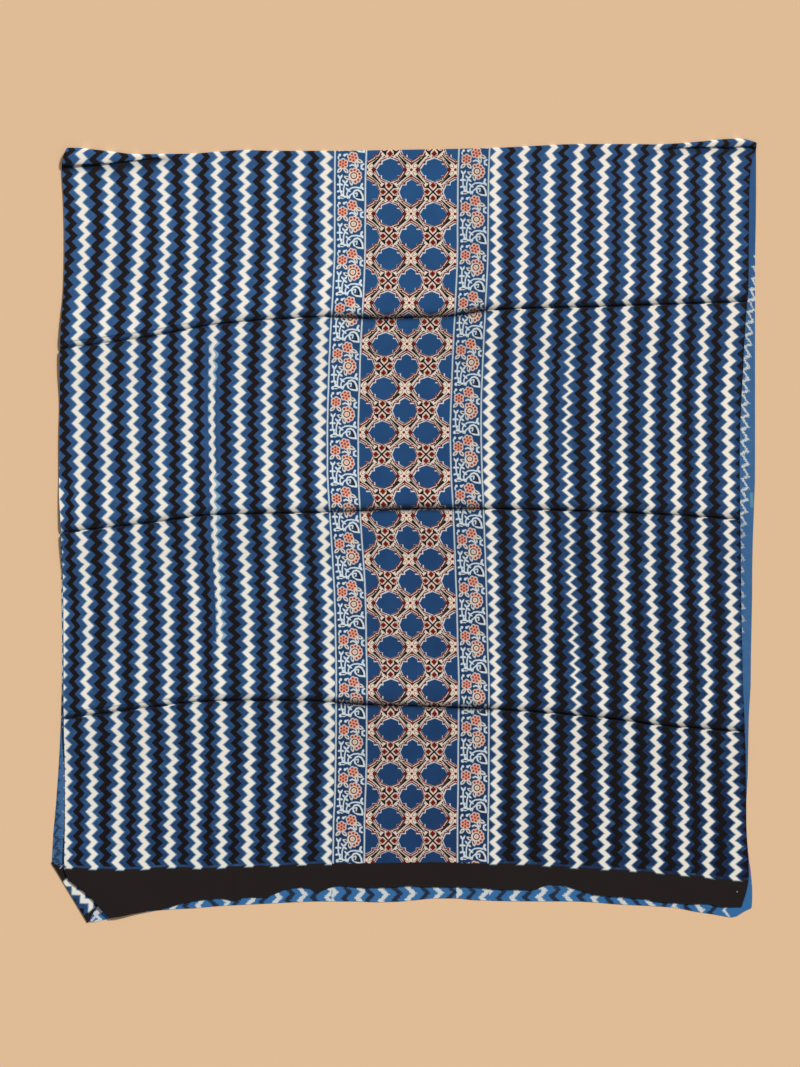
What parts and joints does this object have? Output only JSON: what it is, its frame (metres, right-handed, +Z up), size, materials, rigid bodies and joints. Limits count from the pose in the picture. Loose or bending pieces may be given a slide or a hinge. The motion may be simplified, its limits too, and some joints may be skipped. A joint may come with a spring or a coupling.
{
  "type": "ajrakh cloth",
  "caption": "Hand block printed ajrakh dress cloth folded once in half and laid flat, with zigzag stripes, floral borders, a lattice panel and a plain black end.",
  "frame": {"origin": "middle of the underside, where the folded cloth lies on the surface", "axes": "+Y towards the fold at the top, +X to the right along the fold, +Z up out of the printed face"},
  "size_m": [1.1438, 1.2698, 0.0113],
  "materials": {
    "printed_cloth": "matt block printed cotton, indigo blue with black, warm white and madder red"
  },
  "bodies": {
    "root": {"cloth": "printed_cloth"}
  },
  "joints": []
}
